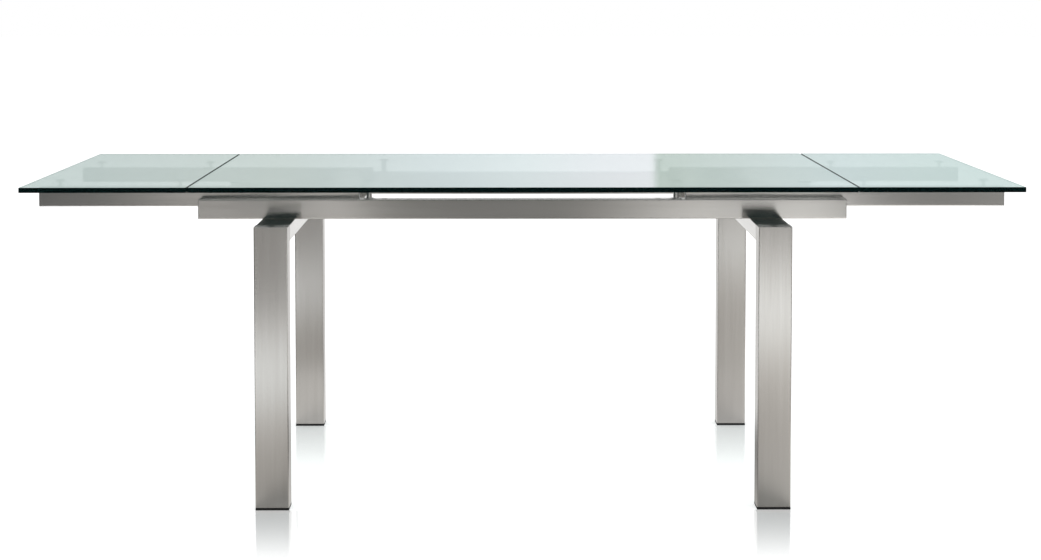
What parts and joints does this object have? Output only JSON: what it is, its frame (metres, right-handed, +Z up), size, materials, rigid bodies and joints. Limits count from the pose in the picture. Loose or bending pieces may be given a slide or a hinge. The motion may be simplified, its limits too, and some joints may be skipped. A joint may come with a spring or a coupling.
{
  "type": "extendable dining table",
  "caption": "Glass-topped extending table on brushed steel portal legs, with a lift-off glass leaf at each end on sliding rails.",
  "frame": {"origin": "on the floor, under the middle of the table", "axes": "+X along the table, +Y towards the rear long side, +Z up"},
  "size_m": [2.323, 0.914, 0.751],
  "materials": {
    "glass": "polished clear float glass",
    "frame": "brushed stainless steel",
    "post": "turned and polished stainless steel",
    "fastener": "plain steel",
    "cap": "moulded black plastic",
    "foot": "moulded black rubber",
    "guide": "black acetal",
    "pad": "clear soft polymer"
  },
  "bodies": {
    "frame": {"centre_bond_discs": "post", "centre_glass": "glass", "frame_bolts": "fastener", "frame_nuts": "fastener", "front_beam": "frame", "front_beam_end_caps": "cap", "front_left_centre_post": "post", "front_left_foot": "foot", "front_left_leg": "frame", "front_right_centre_post": "post", "front_right_foot": "foot", "front_right_leg": "frame", "guide_screws": "fastener", "left_cross_tube": "frame", "left_front_inner_guide": "guide", "left_front_outer_guide": "guide", "left_guide_brackets": "frame", "left_rear_inner_guide": "guide", "left_rear_outer_guide": "guide", "rear_beam": "frame", "rear_beam_end_caps": "cap", "rear_left_centre_post": "post", "rear_left_foot": "foot", "rear_left_leg": "frame", "rear_right_centre_post": "post", "rear_right_foot": "foot", "rear_right_leg": "frame", "right_cross_tube": "frame", "right_front_inner_guide": "guide", "right_front_outer_guide": "guide", "right_guide_brackets": "frame", "right_rear_inner_guide": "guide", "right_rear_outer_guide": "guide"},
    "left_rails": {"left_front_inner_leaf_post": "post", "left_front_outer_leaf_post": "post", "left_front_rail": "frame", "left_front_rail_end_caps": "cap", "left_leaf_discs": "post", "left_leaf_pads": "pad", "left_rear_inner_leaf_post": "post", "left_rear_outer_leaf_post": "post", "left_rear_rail": "frame", "left_rear_rail_end_caps": "cap", "left_tie_bar": "frame", "left_tie_hangers": "frame"},
    "right_rails": {"right_front_inner_leaf_post": "post", "right_front_outer_leaf_post": "post", "right_front_rail": "frame", "right_front_rail_end_caps": "cap", "right_leaf_discs": "post", "right_leaf_pads": "pad", "right_rear_inner_leaf_post": "post", "right_rear_outer_leaf_post": "post", "right_rear_rail": "frame", "right_rear_rail_end_caps": "cap", "right_tie_bar": "frame", "right_tie_hangers": "frame"},
    "left_leaf": {"left_leaf_glass": "glass"},
    "right_leaf": {"right_leaf_glass": "glass"}
  },
  "joints": [
    {"name": "left_rails_slide", "type": "slide", "parent": "frame", "child": "left_rails", "axis": [1, 0, 0], "range_m": [0, 0.388]},
    {"name": "right_rails_slide", "type": "slide", "parent": "frame", "child": "right_rails", "axis": [-1, 0, 0], "range_m": [0, 0.388]},
    {"name": "left_leaf_lift", "type": "slide", "parent": "frame", "child": "left_leaf", "axis": [0, 0, 1], "range_m": [0, 0.15]},
    {"name": "right_leaf_lift", "type": "slide", "parent": "frame", "child": "right_leaf", "axis": [0, 0, 1], "range_m": [0, 0.15]}
  ]
}
